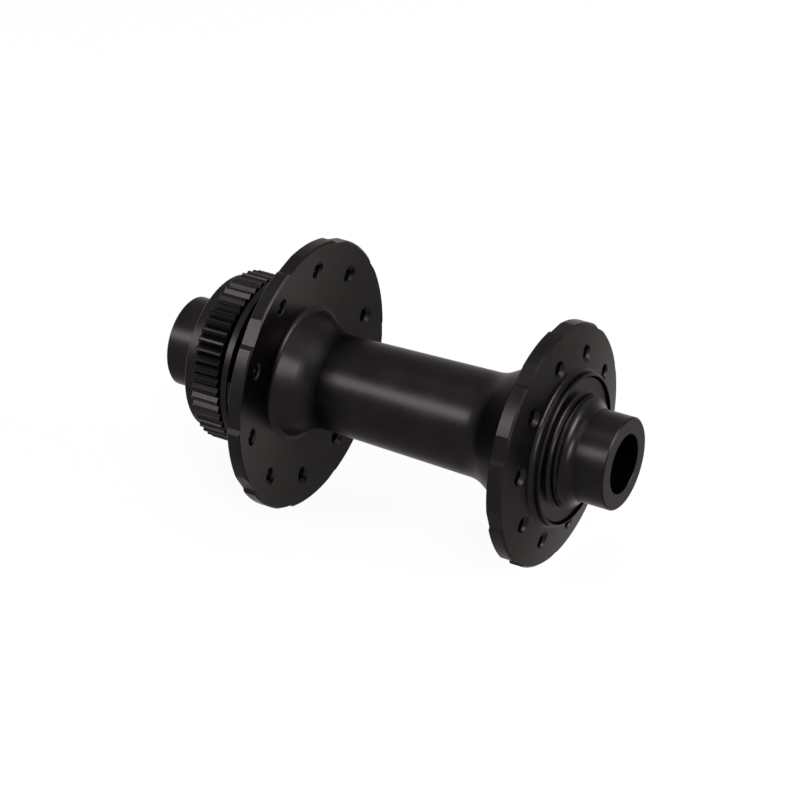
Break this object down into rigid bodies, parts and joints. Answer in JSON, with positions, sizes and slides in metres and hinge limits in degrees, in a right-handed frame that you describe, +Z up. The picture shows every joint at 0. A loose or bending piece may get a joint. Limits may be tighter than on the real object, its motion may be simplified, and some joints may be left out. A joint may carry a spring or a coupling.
{
  "type": "bicycle front hub",
  "caption": "Front bicycle hub with two drilled spoke flanges, a splined seat for a brake rotor, sealed ball bearings and push-on end caps for a thru-axle.",
  "frame": {"origin": "on the axle's centre line, halfway between the two end faces", "axes": "+Y along the axle towards the brake rotor's side, +Z up, +X square to both"},
  "size_m": [0.0564, 0.1, 0.0564],
  "materials": {
    "black_anodised": "satin",
    "satin_black": "satin",
    "bearing_steel": "ground",
    "polished_steel": "polished",
    "black_rubber": "matte",
    "cage_nylon": "matte"
  },
  "bodies": {
    "axle": {"axle_tube": "satin_black", "inner_race_disc": "bearing_steel", "inner_race_plain": "bearing_steel"},
    "hub_shell": {"hub_shell": "black_anodised", "outer_race_disc": "bearing_steel", "outer_race_plain": "bearing_steel", "outboard_seal_disc": "black_rubber", "outboard_seal_plain": "black_rubber", "inboard_seal_disc": "black_rubber", "inboard_seal_plain": "black_rubber"},
    "cage_disc": {"cage_disc": "cage_nylon", "balls_disc": "polished_steel"},
    "cage_plain": {"cage_plain": "cage_nylon", "balls_plain": "polished_steel"},
    "end_cap_disc": {"end_cap_disc": "black_anodised", "cap_oring_disc": "black_rubber", "dust_shield_disc": "black_anodised", "wiper_disc": "black_rubber"},
    "end_cap_plain": {"end_cap_plain": "black_anodised", "cap_oring_plain": "black_rubber", "dust_shield_plain": "black_anodised", "wiper_plain": "black_rubber"}
  },
  "joints": [
    {"name": "hub_spin", "type": "hinge", "parent": "axle", "child": "hub_shell", "pos_m": [0, 0, 0], "axis": [0, 1, 0], "continuous": true},
    {"name": "disc_cage_spin", "type": "hinge", "parent": "axle", "child": "cage_disc", "pos_m": [0, 0.0275, 0], "axis": [0, 1, 0], "continuous": true},
    {"name": "plain_cage_spin", "type": "hinge", "parent": "axle", "child": "cage_plain", "pos_m": [0, -0.034, 0], "axis": [0, 1, 0], "continuous": true},
    {"name": "disc_cap_pull", "type": "slide", "parent": "axle", "child": "end_cap_disc", "axis": [0, 1, 0], "range_m": [0, 0.018]},
    {"name": "plain_cap_pull", "type": "slide", "parent": "axle", "child": "end_cap_plain", "axis": [0, -1, 0], "range_m": [0, 0.012]}
  ],
  "couplings": [
    {"joint": "disc_cage_spin", "follows": "hub_spin", "ratio": 0.5923},
    {"joint": "plain_cage_spin", "follows": "hub_spin", "ratio": 0.5923}
  ]
}
